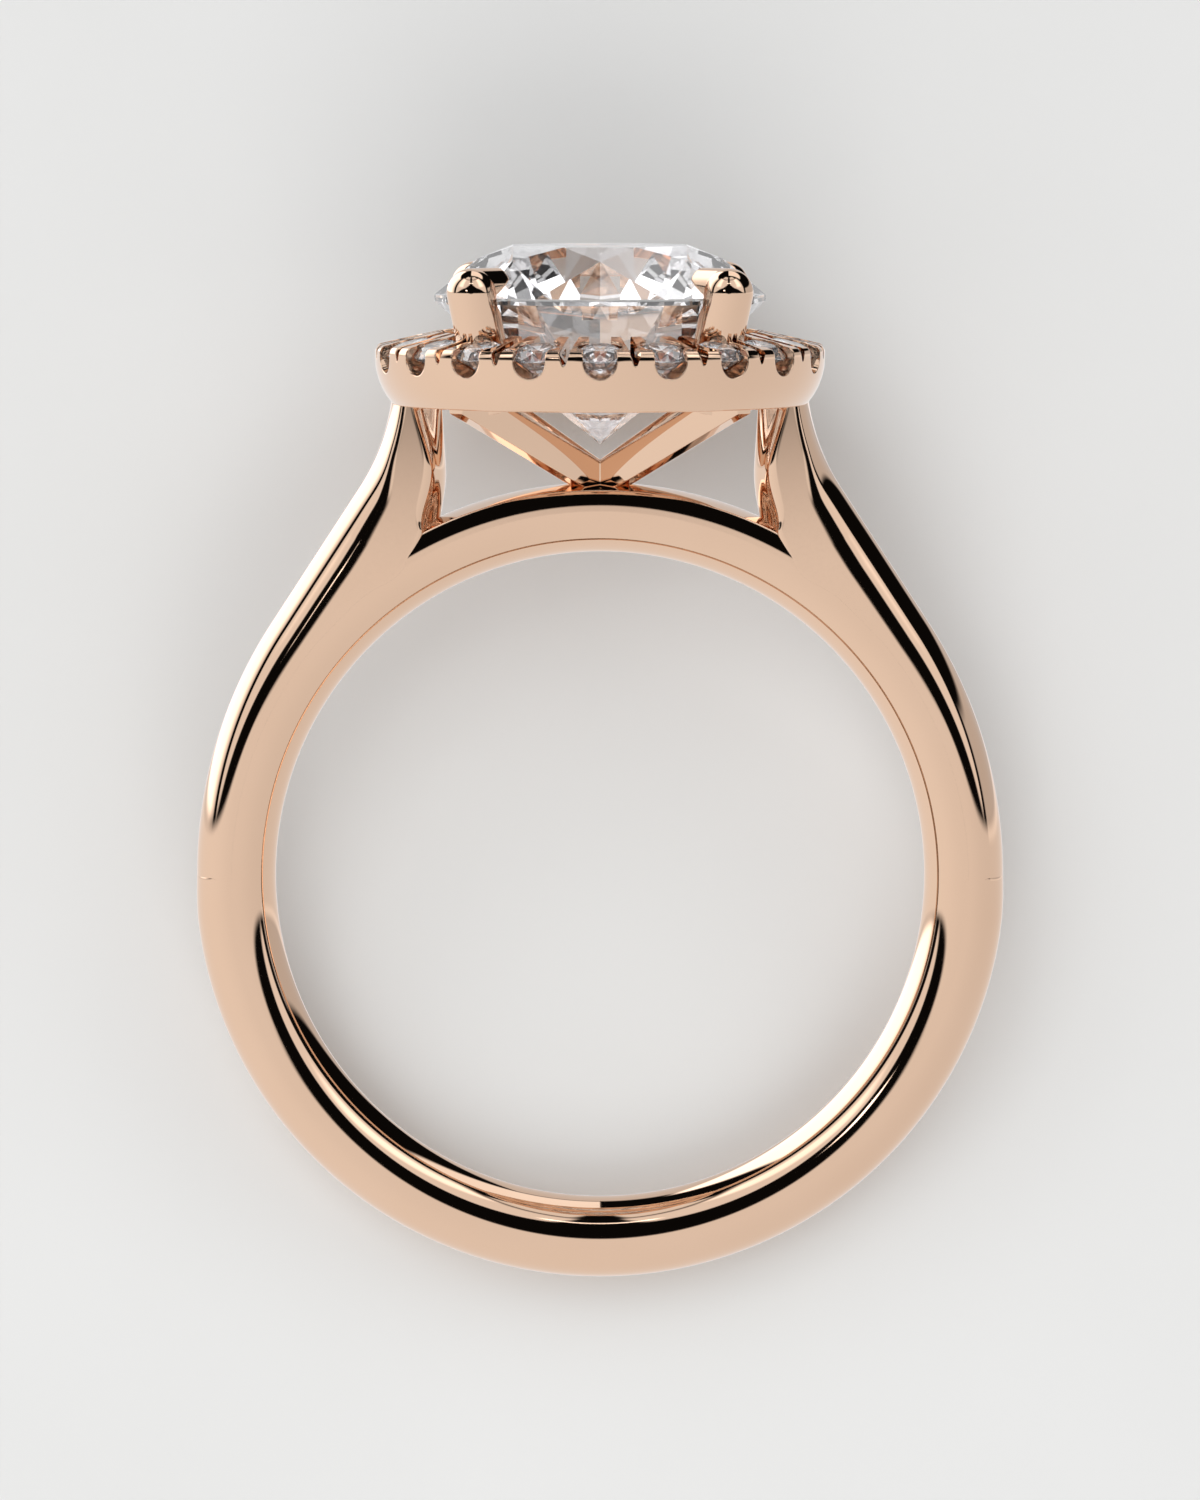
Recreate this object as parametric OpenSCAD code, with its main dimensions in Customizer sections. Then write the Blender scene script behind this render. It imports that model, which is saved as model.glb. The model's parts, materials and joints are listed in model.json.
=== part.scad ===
// Halo ring: a round brilliant in four claws, with a halo of small round
// brilliants, on cathedral shoulders and a plain round band. It lies on its
// side as it comes to rest: on the rim of the halo and the back of the band.
// Origin: middle of the finger hole. +X: across the ring. +Y: towards the head.

/* [Band] */
// Inside diameter of the finger hole
finger_d = 16.5; // [15.5:0.1:18]
// Thickness of the band, from the finger hole to its outer edge
band_t = 2.07; // [2:0.01:2.14]
// Width of the round band along the finger
band_w = 2.16; // [2.1:0.02:2.3]
// Height above the middle of the hole where the shoulders join the band
join_h = 0.4; // [0.2:0.1:0.8]
// How far the shoulders stand in from the band's surface at that joint
join_step = 0.03; // [0.02:0.01:0.05]

/* [Shoulders and arch] */
// Thickness of the arch under the setting
arch_t = 1.62; // [1.4:0.02:1.7]
// Gap between the arch and the underside of the halo
gallery_h = 2.16; // [1.9:0.02:2.6]
// Radius of the shoulders' outer curve, where they leave the band
shoulder_r = 11.85; // [11.4:0.05:12.2]
// Radius of the hollow curve that turns each arm upright under the halo
flare_r = 5.45; // [5:0.05:5.8]
// How far the arms' outer sides stand inside the halo's widest place
arm_inset = 0.47; // [0.44:0.01:0.52]
// How far the arms' inner sides stand inside the halo's hole
arm_lip = 0.08; // [0.02:0.02:0.2]

/* [Struts and claws] */
// Width of each strut of the basket
strut_w = 0.74; // [0.6:0.02:0.8]
// Height of a strut's straight sides, under its round top
strut_h = 0.56; // [0.5:0.02:0.65]
// Rise of the struts, in degrees
strut_rise = 24.8; // [24:0.2:26]
// Diameter of each claw's stem
claw_d = 1.24; // [1.1:0.02:1.3]
// How far each claw's stem stands inside the centre stone's edge at its foot
claw_inset = 0.48; // [0.4:0.02:0.56]
// How far each claw's tip reaches over the centre stone
claw_reach = 0.52; // [0.4:0.02:0.6]
// Thickness of a claw's tip above the crown
claw_t = 0.4; // [0.35:0.05:0.5]

/* [Stones] */
// Diameter of the centre stone
centre_d = 8.4; // [8:0.1:8.6]
// Diameter of each halo stone
halo_stone_d = 1.35; // [1.3:0.01:1.37]
// Height of the centre stone's girdle above the underside of the halo
centre_rise = 2.69; // [2.6:0.01:2.85]
// Height of the halo stones' girdles above the underside of the halo
halo_rise = 1.42; // [1.38:0.01:1.45]
// Space between neighbouring halo stones
stone_space = 0.19; // [0.17:0.01:0.24]
// Outward lean of the halo stones, in degrees
halo_lean = 14; // [12:1:16]
// Gap between each stone and the metal round it
seat_gap = 0.03; // [0.02:0.01:0.04]

/* [Halo] */
// How far the halo's inner edge tucks in under the centre stone
halo_tuck = 0.2; // [0.15:0.01:0.25]
// Distance from the halo's inner edge to the circle through its stones
halo_lip = 0.95; // [0.93:0.01:0.99]
// Distance from that circle to the outside of the halo
halo_rim = 0.77; // [0.75:0.01:0.82]
// Height of the halo from its underside to that widest place
halo_flare_h = 1.22; // [1.15:0.01:1.3]
// Radius of the curve of the halo's outer wall
halo_wall_r = 1.83; // [1.8:0.01:1.95]
// Radius of the round cut in front of each halo stone
scallop_r = 0.37; // [0.32:0.01:0.39]
// Depth of the notch that splits each pair of beads
notch_h = 0.38; // [0.3:0.02:0.45]

/* [Hidden] */
CLAWS = 4;
FIRST_CLAW = 45;
ARC_FN = 64;
FINE_FN = 128;
BIG = 30;

// The halo's radii follow the centre stone, and as many stones as fit go round it
halo_hole_r = centre_d / 2 - halo_tuck;
halo_circle_r = halo_hole_r + halo_lip;
halo_r = halo_circle_r + halo_rim;
HALO_STONES = floor(180 / asin((halo_stone_d + stone_space) / 2 / halo_circle_r));
arm_out = halo_r - arm_inset;
arm_in = halo_hole_r - arm_lip;

function two_digits(n) = n < 10 ? str("0", n) : str(n);
HALO_NAMES = [for (k = [1 : HALO_STONES]) str("halo_stone_", two_digits(k))];

// Heights along the axis of the setting, from the middle of the finger hole
finger_r = finger_d / 2;
band_r = band_w / 2;
band_out = finger_r + band_t;
band_mid = band_out - band_r;
arch_top = finger_r + arch_t;
halo_z = arch_top + gallery_h;
centre_girdle_z = halo_z + centre_rise;
halo_girdle_z = halo_z + halo_rise;

// Shares of a round brilliant's diameter, or of its radius for the places out from its axis
CROWN = 0.149;
GIRDLE = 0.019;
PAVILION = 0.433;
TABLE_R = 0.567;
STAR_R = 0.74;
LOWER_R = 0.24;
FACETS = 8;
HALF_FACET = 180 / FACETS;
// Height of a point on the plane of a main facet, at a share of the radius out
function crown_h(d, share) =
    d * (GIRDLE / 2 + CROWN * (1 - share * cos(HALF_FACET)) / (1 - TABLE_R));
function pavilion_h(d, share) = d * (-GIRDLE / 2 - PAVILION * (1 - share * cos(HALF_FACET)));

// Attitude at rest: the line that touches the halo's wall and the back of the band
bulge_y = halo_r - halo_wall_r;
bulge_z = halo_z + halo_flare_h;
rest_span = norm([bulge_z + band_mid, bulge_y]);
rest_tilt = atan2(bulge_y, bulge_z + band_mid) + asin((halo_wall_r - band_r) / rest_span);

GOLD = "#E5BC9C";
DIAMOND = "#EEF2F6";

module laid_down() {
    rotate([-(90 - rest_tilt), 0, 0]) children();
}

// A round brilliant, its girdle at height 0 and its table up
function round_points(n, r, z, start) =
    [for (k = [0 : n - 1]) [r * cos(start + 360 * k / n), r * sin(start + 360 * k / n), z]];

module brilliant(d) {
    r = d / 2;
    n = FACETS;
    m = 2 * n;
    points = concat(
        round_points(n, r * TABLE_R, d * (GIRDLE / 2 + CROWN), HALF_FACET),
        round_points(n, r * STAR_R, crown_h(d, STAR_R), 0),
        round_points(m, r, d * GIRDLE / 2, 0),
        round_points(m, r, -d * GIRDLE / 2, 0),
        round_points(n, r * LOWER_R, pavilion_h(d, LOWER_R), 0),
        [[0, 0, -d * (GIRDLE / 2 + PAVILION)]]);
    star = n;
    top = 2 * n;
    bottom = top + m;
    lower = bottom + m;
    culet = lower + n;
    table = [for (k = [n - 1 : -1 : 0]) k];
    stars = [for (k = [0 : n - 1]) [k, (k + 1) % n, star + (k + 1) % n]];
    kites = [for (k = [0 : n - 1])
        [k, star + (k + 1) % n, top + 2 * k + 1, star + k]];
    upper = [for (k = [0 : n - 1], s = [0, 1])
        [star + k, top + (2 * k + s) % m, top + (2 * k + s + m - 1) % m]];
    girdle = [for (k = [0 : m - 1])
        [top + k, top + (k + 1) % m, bottom + (k + 1) % m, bottom + k]];
    under = [for (k = [0 : n - 1], s = [0, 1])
        [lower + k, bottom + (2 * k + s + m - 1) % m, bottom + (2 * k + s) % m]];
    mains = [for (k = [0 : n - 1])
        [culet, lower + k, bottom + 2 * k + 1, lower + (k + 1) % n]];
    polyhedron(points, concat([table], stars, kites, upper, girdle, under, mains));
}

// The room that a brilliant needs: its outline turned about its axis, with the gap round it
CULET_GAPS = 1.4;
module seat(d) {
    r = d / 2;
    g = seat_gap;
    rotate_extrude($fn = ARC_FN)
        polygon([
            [0, -d * (GIRDLE / 2 + PAVILION) - g * CULET_GAPS],
            [r * LOWER_R + g, pavilion_h(d, LOWER_R) - g],
            [r + g, -d * GIRDLE / 2 - g],
            [r + g, d * GIRDLE / 2 + g],
            [r * STAR_R + g, crown_h(d, STAR_R) + g],
            [r * TABLE_R + g, d * (GIRDLE / 2 + CROWN) + g],
            [0, d * (GIRDLE / 2 + CROWN) + g]]);
}

module at_halo_stone(k) {
    rotate([0, 0, 270 + 360 * k / HALO_STONES])
        translate([halo_circle_r, 0, halo_girdle_z])
            rotate([0, halo_lean, 0]) children();
}

// Shoulders: the band's outside curve opens out, runs straight and turns upright at the halo
UPRIGHT_RISE = 0.85;
ARM_ROOT = 4;
ARM_TOP = 0.3;
LAP = 0.2;
LAP_STEP = 0.01;
arm_r = band_r - join_step;
shoulder_x = band_out - join_step - shoulder_r;
flare_x = arm_out + flare_r;
flare_z = halo_z + UPRIGHT_RISE;
flare_span = norm([flare_x - shoulder_x, flare_z]);
arm_turn = atan2(flare_z, flare_x - shoulder_x) - acos((shoulder_r + flare_r) / flare_span);
arm_straight = sqrt(pow(flare_span, 2) - pow(shoulder_r + flare_r, 2));

module wire_arc(mid, r, turn) {
    rotate_extrude(angle = turn, $fn = FINE_FN) translate([mid, 0]) circle(r = r, $fn = ARC_FN);
}

module arm() {
    rotate([90, 0, 0]) difference() {
        union() {
            translate([shoulder_x, 0, 0]) rotate([0, 0, -ARM_ROOT])
                wire_arc(shoulder_r - arm_r, arm_r, ARM_ROOT + arm_turn);
            translate([shoulder_x, 0, 0]) rotate([0, 0, arm_turn])
                translate([shoulder_r - arm_r, -LAP, 0]) rotate([-90, 0, 0])
                    cylinder(r = arm_r - LAP_STEP, h = arm_straight + 2 * LAP, $fn = ARC_FN);
            translate([flare_x, flare_z, 0]) rotate([0, 0, 180])
                wire_arc(flare_r + arm_r, arm_r, arm_turn);
        }
        translate([0, halo_z + ARM_TOP, -BIG / 2]) cube(BIG);
    }
}

module finger_hole() {
    rotate([90, 0, 0]) cylinder(r = finger_r, h = BIG, center = true, $fn = FINE_FN);
}

// The opening under the setting, cut straight through from front to back
module gallery_opening() {
    rotate([90, 0, 0])
        linear_extrude(height = BIG, center = true)
            difference() {
                translate([-arm_in, 0]) square([2 * arm_in, halo_z + 1]);
                circle(r = arch_top, $fn = FINE_FN);
            }
}

ARCH_R = 1;
ARCH_SINK = 0.1;
ARCH_ROOT = 6;
module band() {
    difference() {
        union() {
            difference() {
                rotate([90, 0, 0]) wire_arc(band_mid, band_r, 360);
                translate([-BIG / 2, -BIG / 2, join_h]) cube(BIG);
            }
            rotate([90, 0, 0]) rotate([0, 0, -ARCH_ROOT])
                wire_arc(finger_r - ARCH_SINK + ARCH_R, ARCH_R, 180 + 2 * ARCH_ROOT);
            arm();
            mirror([1, 0, 0]) arm();
        }
        finger_hole();
        gallery_opening();
    }
}

// Halo: an upright ring with a curved outer wall and a top that slopes outwards
HALO_TOP_IN = 1.85;
HALO_TOP_OUT = 1.56;
TOP_EDGE = 0.2;
module halo_ring() {
    rotate_extrude($fn = FINE_FN)
        intersection() {
            translate([halo_r - halo_wall_r, halo_z + halo_flare_h])
                circle(r = halo_wall_r, $fn = FINE_FN);
            polygon([
                [halo_hole_r, halo_z],
                [halo_r, halo_z],
                [halo_r, halo_z + HALO_TOP_OUT - TOP_EDGE],
                [halo_r - TOP_EDGE, halo_z + HALO_TOP_OUT],
                [halo_hole_r + TOP_EDGE, halo_z + HALO_TOP_IN],
                [halo_hole_r, halo_z + HALO_TOP_IN - TOP_EDGE]]);
        }
}

OPEN_SHARE = 0.84;
INNER_SHARE = 0.72;
PIERCE_SHARE = 0.44;
CUT_RISE = 0.03;
CUT_LENGTH = 1.2;
CLEAR_H = 1;
module scallop(r) {
    rotate([0, 90, 0]) cylinder(r = r, h = CUT_LENGTH, $fn = ARC_FN);
    translate([0, -r, 0]) cube([CUT_LENGTH, 2 * r, CLEAR_H]);
}

module halo_stone_cut() {
    seat(halo_stone_d);
    cylinder(r = halo_stone_d / 2 * OPEN_SHARE, h = CLEAR_H, $fn = ARC_FN);
    translate([0, 0, CUT_RISE]) scallop(scallop_r);
    translate([0, 0, CUT_RISE]) rotate([0, 0, 180]) scallop(scallop_r * INNER_SHARE);
    mirror([0, 0, 1])
        cylinder(r = halo_stone_d / 2 * PIERCE_SHARE, h = halo_rise * 2, $fn = ARC_FN);
}

// Notch between two stones, cut straight across the halo's top
NOTCH_W = 0.32;
module bead_notch(k) {
    rotate([0, 0, 270 + 360 * (k + 0.5) / HALO_STONES])
        translate([halo_circle_r, 0, halo_z + (HALO_TOP_IN + HALO_TOP_OUT) / 2 - notch_h])
            rotate([90, 0, 90])
                linear_extrude(height = 2 * (halo_lip + halo_rim), center = true)
                    polygon([
                        [0, 0],
                        [NOTCH_W / 2, notch_h],
                        [NOTCH_W / 2, notch_h + CLEAR_H],
                        [-NOTCH_W / 2, notch_h + CLEAR_H],
                        [-NOTCH_W / 2, notch_h]]);
}

// Struts rise from the arch to the underside of the halo, below each claw
STRUT_SINK = 0.29;
STRUT_PAST = 0.1;
module strut() {
    reach = halo_circle_r + STRUT_PAST;
    run = reach / cos(strut_rise);
    intersection() {
        translate([0, 0, arch_top - STRUT_SINK])
            rotate([0, -strut_rise, 0]) {
                translate([0, -strut_w / 2, 0]) cube([run, strut_w, strut_h]);
                translate([0, 0, strut_h])
                    rotate([0, 90, 0]) cylinder(d = strut_w, h = run, $fn = ARC_FN);
            }
        cylinder(r = reach, h = BIG, $fn = FINE_FN);
    }
}

// Claws: a leaning stem with a round top, and a tip that lies over the crown
CLAW_LEAN = 16;
TIP_SHARE = 0.8;
module claw() {
    foot_r = centre_d / 2 - claw_inset;
    tip_r = centre_d / 2 - claw_reach;
    crown_at_tip = centre_girdle_z + centre_d * (GIRDLE / 2
        + CROWN * claw_reach / (centre_d / 2 * (1 - TABLE_R)));
    top_z = crown_at_tip + claw_t;
    stem = (top_z - claw_d / 2 - halo_z) / cos(CLAW_LEAN);
    head_r = foot_r + stem * sin(CLAW_LEAN);
    tip_d = claw_d * TIP_SHARE;
    translate([foot_r, 0, halo_z])
        rotate([0, CLAW_LEAN, 0]) {
            cylinder(d = claw_d, h = stem, $fn = ARC_FN);
            translate([0, 0, stem]) sphere(d = claw_d, $fn = ARC_FN);
        }
    translate([tip_r, 0, top_z - tip_d / 2])
        rotate([0, 90, 0]) cylinder(d = tip_d, h = head_r - tip_r, $fn = ARC_FN);
}

module setting() {
    difference() {
        union() {
            halo_ring();
            for (k = [0 : CLAWS - 1])
                rotate([0, 0, FIRST_CLAW + 360 * k / CLAWS]) {
                    strut();
                    claw();
                }
        }
        translate([0, 0, centre_girdle_z]) seat(centre_d);
        for (k = [0 : HALO_STONES - 1]) {
            at_halo_stone(k) halo_stone_cut();
            bead_notch(k);
        }
    }
}

module ring_mount() {
    color(GOLD) laid_down() {
        band();
        setting();
    }
}

module centre_stone() {
    color(DIAMOND) laid_down() translate([0, 0, centre_girdle_z]) brilliant(centre_d);
}

module halo_stone(k) {
    color(DIAMOND) laid_down() at_halo_stone(k) brilliant(halo_stone_d);
}

ring_mount();
centre_stone();
for (k = [0 : HALO_STONES - 1])
    halo_stone(k);
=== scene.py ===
"""A rose gold halo ring, lying on its side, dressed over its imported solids.

Shapes are worked out in millimetres in the ring's own upright frame: X across
the ring, Y through the finger hole away from the viewer, Z up to the stone,
with the middle of the finger hole at the origin. The last step of every piece
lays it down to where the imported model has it, in metres.
"""
import json
import logging
import math
from dataclasses import dataclass, field, replace
from enum import Enum
from typing import Callable, Iterable, Sequence

import bmesh
import bpy
import numpy as np
from mathutils import Matrix, Vector
from mathutils.bvhtree import BVHTree
from mathutils.interpolate import poly_3d_calc


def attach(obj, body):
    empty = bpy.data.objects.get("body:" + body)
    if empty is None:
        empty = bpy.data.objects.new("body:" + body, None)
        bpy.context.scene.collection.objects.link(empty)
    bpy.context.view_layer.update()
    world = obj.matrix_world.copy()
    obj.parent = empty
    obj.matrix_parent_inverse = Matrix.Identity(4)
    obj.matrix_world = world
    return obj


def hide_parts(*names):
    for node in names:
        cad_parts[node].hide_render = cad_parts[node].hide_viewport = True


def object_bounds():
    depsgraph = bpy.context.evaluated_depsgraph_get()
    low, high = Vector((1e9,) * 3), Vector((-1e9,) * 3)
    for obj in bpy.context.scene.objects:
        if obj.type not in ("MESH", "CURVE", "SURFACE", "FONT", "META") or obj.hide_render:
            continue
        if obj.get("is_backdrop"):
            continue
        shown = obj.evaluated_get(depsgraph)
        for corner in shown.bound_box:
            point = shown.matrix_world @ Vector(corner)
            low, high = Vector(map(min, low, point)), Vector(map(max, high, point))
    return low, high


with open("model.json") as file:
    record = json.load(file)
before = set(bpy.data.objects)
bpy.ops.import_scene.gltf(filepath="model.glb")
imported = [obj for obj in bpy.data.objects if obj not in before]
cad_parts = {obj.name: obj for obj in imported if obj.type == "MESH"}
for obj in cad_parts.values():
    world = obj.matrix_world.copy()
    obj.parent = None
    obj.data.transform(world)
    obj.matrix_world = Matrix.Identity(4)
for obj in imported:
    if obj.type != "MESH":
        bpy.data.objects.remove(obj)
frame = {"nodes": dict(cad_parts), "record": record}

Thing, Material = bpy.types.Object, bpy.types.Material
Tree, Socket = bpy.types.NodeTree, bpy.types.NodeSocket
Pair, Triple = tuple[float, float], tuple[float, float, float]
Floats = tuple[float, ...]

LOG = logging.getLogger("halo_ring")
MM = 0.001
SAME_POINT_MM = 1e-5
CREASE_DEG = 28.0
ARMS = 4
FIRST_ARM_DEG = 45.0
CAD_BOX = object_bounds()


class Side(Enum):
    """Which side of the ring a shoulder is on."""

    RIGHT = 1
    LEFT = -1


class Cut(Enum):
    """What a boolean does with its second solid."""

    TAKE = "DIFFERENCE"
    JOIN = "UNION"


# Attitude


@dataclass(frozen=True)
class Attitude:
    """How the upright ring is laid down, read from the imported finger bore."""

    axis: Triple

    @property
    def tilt(self) -> float:
        """Lean of the head off the ground, in radians."""
        return math.atan2(-self.axis[1], self.axis[2])

    @property
    def turn(self) -> Matrix:
        """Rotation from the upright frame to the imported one."""
        return Matrix.Rotation(-(math.pi / 2 - self.tilt), 4, "X")

    def laid(self, point: Sequence[float]) -> Vector:
        """An upright point in millimetres, as a packed one in metres."""
        return (self.turn @ Vector(point)) * MM


ATTITUDE = Attitude(tuple(frame["record"]["mounts"][0]["axis"]))


# Meshes


def linked(name: str, data: bpy.types.ID | None) -> Thing:
    """Makes an object of some data and puts it in the scene."""
    thing = bpy.data.objects.new(name, data)
    bpy.context.scene.collection.objects.link(thing)
    return thing


def loft(name: str, sections: Sequence[np.ndarray], ring: bool = False) -> Thing:
    """Skins a run of closed sections and turns the faces outwards.

    Args:
        name: The object's name.
        sections: Rows of points in millimetres, each row the same number.
        ring: Whether the last section joins the first, or both ends are capped.

    Returns:
        The new solid, linked to the scene.
    """
    rows, cols = len(sections), len(sections[0])
    faces = [(i * cols + j, i * cols + (j + 1) % cols,
              (i + 1) % rows * cols + (j + 1) % cols, (i + 1) % rows * cols + j)
             for i in range(rows if ring else rows - 1) for j in range(cols)]
    if not ring:
        faces.append(tuple(range(cols)))
        faces.append(tuple(reversed(range((rows - 1) * cols, rows * cols))))
    mesh = bpy.data.meshes.new(name)
    mesh.from_pydata([tuple(p) for p in np.concatenate(sections)], [], faces)
    work = bmesh.new()
    work.from_mesh(mesh)
    bmesh.ops.remove_doubles(work, verts=work.verts, dist=SAME_POINT_MM)
    bmesh.ops.recalc_face_normals(work, faces=work.faces)
    work.to_mesh(mesh)
    work.free()
    mesh.shade_smooth()
    return linked(name, mesh)


def turned(name: str, outline: Sequence[Pair], steps: int = 96,
           start: float = 0.0, sweep: float = 360.0) -> Thing:
    """Turns an outline of (radius, height) points round the Z axis.

    Args:
        name: The object's name.
        outline: Points of a closed outline, or of one that ends on the axis.
        steps: How many steps the sweep takes.
        start: Where the sweep starts, in degrees.
        sweep: How far it goes, in degrees.

    Returns:
        The turned solid.
    """
    whole = abs(sweep - 360.0) < 1e-6
    count = steps if whole else steps + 1
    sections = []
    for k in range(count):
        a = math.radians(start + sweep * k / steps)
        sections.append(np.array([(r * math.cos(a), r * math.sin(a), z) for r, z in outline]))
    return loft(name, sections, whole)


def rod(name: str, radius: float, length: float, steps: int = 64) -> Thing:
    """A round rod along Z that starts at the origin."""
    return turned(name, [(0, 0), (radius, 0), (radius, length), (0, length)], steps)


def moved(thing: Thing, matrix: Matrix) -> Thing:
    """Moves an object's mesh.

    Args:
        thing: The object.
        matrix: The move; a mirroring one also turns the faces back out.

    Returns:
        The same object.
    """
    thing.data.transform(matrix)
    if matrix.determinant() < 0:
        thing.data.flip_normals()
    return thing


def dropped(thing: Thing) -> None:
    """Removes a helper object with its mesh."""
    mesh = thing.data
    bpy.data.objects.remove(thing)
    bpy.data.meshes.remove(mesh)


def baked(thing: Thing) -> Thing:
    """Turns an object's live modifiers into its plain mesh.

    Args:
        thing: The object.

    Returns:
        The same object, without modifiers.
    """
    bpy.context.view_layer.update()
    seen = thing.evaluated_get(bpy.context.evaluated_depsgraph_get())
    mesh = bpy.data.meshes.new_from_object(seen)
    thing.modifiers.clear()
    old, thing.data = thing.data, mesh
    bpy.data.meshes.remove(old)
    return thing


def back_to_first(step: float, first: float, home: float) -> Callable[[Vector], Matrix]:
    """Makes the function that turns a place among repeats back to where it was made.

    Args:
        step: The turn from one repeat to the next, in degrees.
        first: Where a repeat stands, in degrees from X.
        home: Where the one that was made stood.

    Returns:
        A function from a place to the turn about Z.
    """

    def fold(middle: Vector) -> Matrix:
        """The turn for one place."""
        turn = math.degrees(math.atan2(middle.y, middle.x)) - first
        return Matrix.Rotation(math.radians(-round(turn / step) * step - first + home), 4, "Z")

    return fold


@dataclass
class TrueNormals:
    """Remembers smooth solids, so that what is cut from them shades as truly as they did."""

    crease_deg: float = CREASE_DEG
    search_mm: float = 0.5
    facing_weight: float = 0.05
    least_agreement: float = 0.5
    patches: list[tuple[BVHTree, list, list, float]] = field(default_factory=list)

    def learn(self, thing: Thing, sign: float = 1.0) -> Thing:
        """Keeps each smooth patch of a solid.

        Args:
            thing: The solid.
            sign: -1 for a solid that is taken away, or 1.

        Returns:
            The same solid, unchanged.
        """
        work = bmesh.new()
        work.from_mesh(thing.data)
        work.normal_update()
        sharp = [e for e in work.edges if len(e.link_faces) != 2
                 or e.calc_face_angle(0.0) > math.radians(self.crease_deg)]
        bmesh.ops.split_edges(work, edges=sharp)
        work.faces.ensure_lookup_table()
        todo = set(work.faces)
        while todo:
            patch, front = [], [todo.pop()]
            while front:
                face = front.pop()
                patch.append(face)
                for edge in face.edges:
                    for near in edge.link_faces:
                        if near in todo:
                            todo.discard(near)
                            front.append(near)
            self._keep(patch, sign)
        work.free()
        return thing

    def combine(self, base: Thing, other: Thing, cut: Cut) -> None:
        """Learns a solid, joins it to another or takes it away, and drops it.

        Args:
            base: The solid that is changed.
            other: The second solid.
            cut: What happens to it.
        """
        self.learn(other, 1.0 if cut is Cut.JOIN else -1.0)
        step = base.modifiers.new("cut", "BOOLEAN")
        step.operation = cut.value
        step.solver = "EXACT"
        step.object = other
        baked(base)
        dropped(other)

    def _keep(self, patch: list, sign: float) -> None:
        """Stores one patch as points, normals and a search tree.

        Args:
            patch: Its faces.
            sign: 1, or -1 for faces of a solid that is taken away.
        """
        number, points, normals, polys = {}, [], [], []
        for face in patch:
            for vert in face.verts:
                if vert.index not in number:
                    number[vert.index] = len(points)
                    points.append(vert.co.copy())
                    normals.append([])
        for face in patch:
            ids = [number[v.index] for v in face.verts]
            polys.append(ids)
            for vert, loop in zip(face.verts, face.loops):
                normals[number[vert.index]].append(face.normal * loop.calc_angle())
        smooth = [sum(n, Vector()).normalized() for n in normals]
        self.patches.append((BVHTree.FromPolygons(points, polys), polys, [points, smooth], sign))

    def _lookup(self, patch: tuple, point: Vector) -> Vector:
        """Finds a patch's smooth normal.

        Args:
            patch: The patch, as _keep stores it.
            point: Where the normal is wanted.

        Returns:
            The normal at the patch's nearest place.
        """
        tree, polys, (points, normals), sign = patch
        spot, _, index, _ = tree.find_nearest(point)
        ids = polys[index]
        weights = [1.0 / max((points[i] - spot).length, 1e-7) for i in ids]
        if len(ids) in (3, 4):
            weights = poly_3d_calc([points[i] for i in ids], spot)
        total = sum((normals[i] * w for i, w in zip(ids, weights)), Vector())
        return total.normalized() * sign

    def apply(self, thing: Thing, fold: Callable[[Vector], Matrix]) -> None:
        """Gives every corner of a mesh the normal of the solid that it was cut from.

        Args:
            thing: The cut and repeated object, in the frame of the patches.
            fold: Gives the turn that brings a face's middle back to the patches.
        """
        mesh = thing.data
        normals = [Vector((0, 0, 1))] * len(mesh.loops)
        for face in mesh.polygons:
            turn = fold(face.center)
            spin = turn.to_3x3()
            back = spin.transposed()
            middle, facing = turn @ face.center, spin @ face.normal
            best, patch = math.inf, None
            for one in self.patches:
                spot, normal, _, away = one[0].find_nearest(middle, self.search_mm)
                if spot is None:
                    continue
                cost = away + self.facing_weight * (1.0 - facing.dot(normal * one[3]))
                if cost < best:
                    best, patch = cost, one
            for loop, vert in zip(face.loop_indices, face.vertices):
                found = face.normal
                if patch is not None:
                    found = back @ self._lookup(patch, turn @ mesh.vertices[vert].co)
                    if found.dot(face.normal) < self.least_agreement:
                        found = face.normal
                normals[loop] = found
        mesh.normals_split_custom_set([tuple(n) for n in normals])


def sharpened(thing: Thing) -> Thing:
    """Marks the creases of an object's mesh as sharp."""
    thing.data.set_sharp_from_angle(angle=math.radians(CREASE_DEG))
    return thing


# Materials


def linear(code: str) -> tuple[float, float, float, float]:
    """An sRGB hex colour such as "E8C4A8" as linear RGBA."""
    parts = [int(code[k:k + 2], 16) / 255 for k in (0, 2, 4)]
    return tuple(c / 12.92 if c <= 0.04045 else ((c + 0.055) / 1.055) ** 2.4
                 for c in parts) + (1.0,)


def add_node(tree: Tree, kind: str, settings: dict | None = None,
             links: dict | None = None) -> bpy.types.Node:
    """Adds a node with its settings and links.

    Args:
        tree: The node tree.
        kind: The node's type.
        settings: Values by property name, or by input name or number.
        links: Output sockets by input name or number.

    Returns:
        The new node.
    """
    node = tree.nodes.new(kind)
    for key, value in (settings or {}).items():
        if isinstance(key, int) or key in node.inputs:
            node.inputs[key].default_value = value
        else:
            setattr(node, key, value)
    for key, socket in (links or {}).items():
        tree.links.new(socket, node.inputs[key])
    return node


def new_material(name: str) -> tuple[Material, Tree, bpy.types.Node]:
    """Starts a material.

    Args:
        name: The material's name.

    Returns:
        The material, its tree and the tree's only node, the output.
    """
    material = bpy.data.materials.new(name)
    material.use_nodes = True
    tree = material.node_tree
    tree.nodes.clear()
    return material, tree, tree.nodes.new("ShaderNodeOutputMaterial")


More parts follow.
